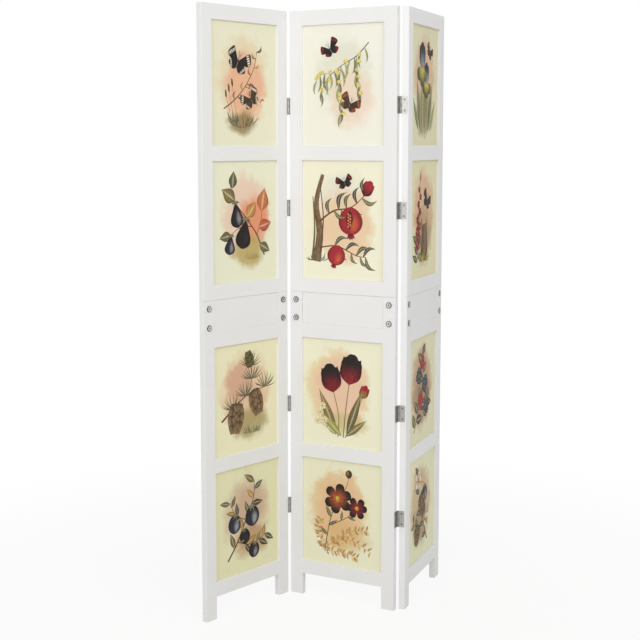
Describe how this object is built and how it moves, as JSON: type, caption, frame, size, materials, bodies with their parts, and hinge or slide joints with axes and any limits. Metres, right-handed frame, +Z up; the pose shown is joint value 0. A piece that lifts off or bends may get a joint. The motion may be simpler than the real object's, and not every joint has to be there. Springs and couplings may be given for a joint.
{
  "type": "folding room divider screen",
  "caption": "Freestanding folding screen of hinged wooden panels, each with two spliced half frames that hold recessed picture boards; it stands in a zigzag and folds flat.",
  "frame": {"origin": "on the floor, under the centre of the standing screen's bounding box", "axes": "+Z up; the middle panel lies along X with its front face towards -Y; the left panel folds to the front and the right panel to the back"},
  "size_m": [0.4788, 0.743, 1.8],
  "materials": {
    "painted_wood": "white satin paint on planed softwood",
    "picture_board": "thin hardboard with a pale cream printed face",
    "zinc_fittings": "zinc-plated connector bolts and cap nuts",
    "nickel_hinges": "satin nickel-plated steel",
    "hinge_screws": "nickel-plated steel, countersunk"
  },
  "bodies": {
    "middle_panel": {"left_hinge_pins": "nickel_hinges", "middle_panel_hinge_screws": "hinge_screws", "middle_panel_left_hinge_leaves": "nickel_hinges", "middle_panel_lower_bottom_rail": "painted_wood", "middle_panel_lower_left_stile": "painted_wood", "middle_panel_lower_middle_rail": "painted_wood", "middle_panel_lower_right_stile": "painted_wood", "middle_panel_lower_top_rail": "painted_wood", "middle_panel_middle_board": "painted_wood", "middle_panel_picture_board_1": "picture_board", "middle_panel_picture_board_2": "picture_board", "middle_panel_picture_board_3": "picture_board", "middle_panel_picture_board_4": "picture_board", "middle_panel_right_hinge_leaves": "nickel_hinges", "middle_panel_splice_bolts": "zinc_fittings", "middle_panel_splice_nuts": "zinc_fittings", "middle_panel_upper_bottom_rail": "painted_wood", "middle_panel_upper_left_stile": "painted_wood", "middle_panel_upper_middle_rail": "painted_wood", "middle_panel_upper_right_stile": "painted_wood", "middle_panel_upper_top_rail": "painted_wood", "right_hinge_pins": "nickel_hinges"},
    "left_panel": {"left_panel_hinge_leaves": "nickel_hinges", "left_panel_hinge_screws": "hinge_screws", "left_panel_lower_bottom_rail": "painted_wood", "left_panel_lower_left_stile": "painted_wood", "left_panel_lower_middle_rail": "painted_wood", "left_panel_lower_right_stile": "painted_wood", "left_panel_lower_top_rail": "painted_wood", "left_panel_middle_board": "painted_wood", "left_panel_picture_board_1": "picture_board", "left_panel_picture_board_2": "picture_board", "left_panel_picture_board_3": "picture_board", "left_panel_picture_board_4": "picture_board", "left_panel_splice_bolts": "zinc_fittings", "left_panel_splice_nuts": "zinc_fittings", "left_panel_upper_bottom_rail": "painted_wood", "left_panel_upper_left_stile": "painted_wood", "left_panel_upper_middle_rail": "painted_wood", "left_panel_upper_right_stile": "painted_wood", "left_panel_upper_top_rail": "painted_wood"},
    "right_panel": {"right_panel_hinge_leaves": "nickel_hinges", "right_panel_hinge_screws": "hinge_screws", "right_panel_lower_bottom_rail": "painted_wood", "right_panel_lower_left_stile": "painted_wood", "right_panel_lower_middle_rail": "painted_wood", "right_panel_lower_right_stile": "painted_wood", "right_panel_lower_top_rail": "painted_wood", "right_panel_middle_board": "painted_wood", "right_panel_picture_board_1": "picture_board", "right_panel_picture_board_2": "picture_board", "right_panel_picture_board_3": "picture_board", "right_panel_picture_board_4": "picture_board", "right_panel_splice_bolts": "zinc_fittings", "right_panel_splice_nuts": "zinc_fittings", "right_panel_upper_bottom_rail": "painted_wood", "right_panel_upper_left_stile": "painted_wood", "right_panel_upper_middle_rail": "painted_wood", "right_panel_upper_right_stile": "painted_wood", "right_panel_upper_top_rail": "painted_wood"}
  },
  "joints": [
    {"name": "left_hinge", "type": "hinge", "parent": "middle_panel", "child": "left_panel", "pos_m": [-0.14818, -0.01649, 0.9], "axis": [0, 0, 1], "range_deg": [-79, 101]},
    {"name": "right_hinge", "type": "hinge", "parent": "middle_panel", "child": "right_panel", "pos_m": [0.21682, 0.00951, 0.9], "axis": [0, 0, 1], "range_deg": [-98, 82]}
  ]
}
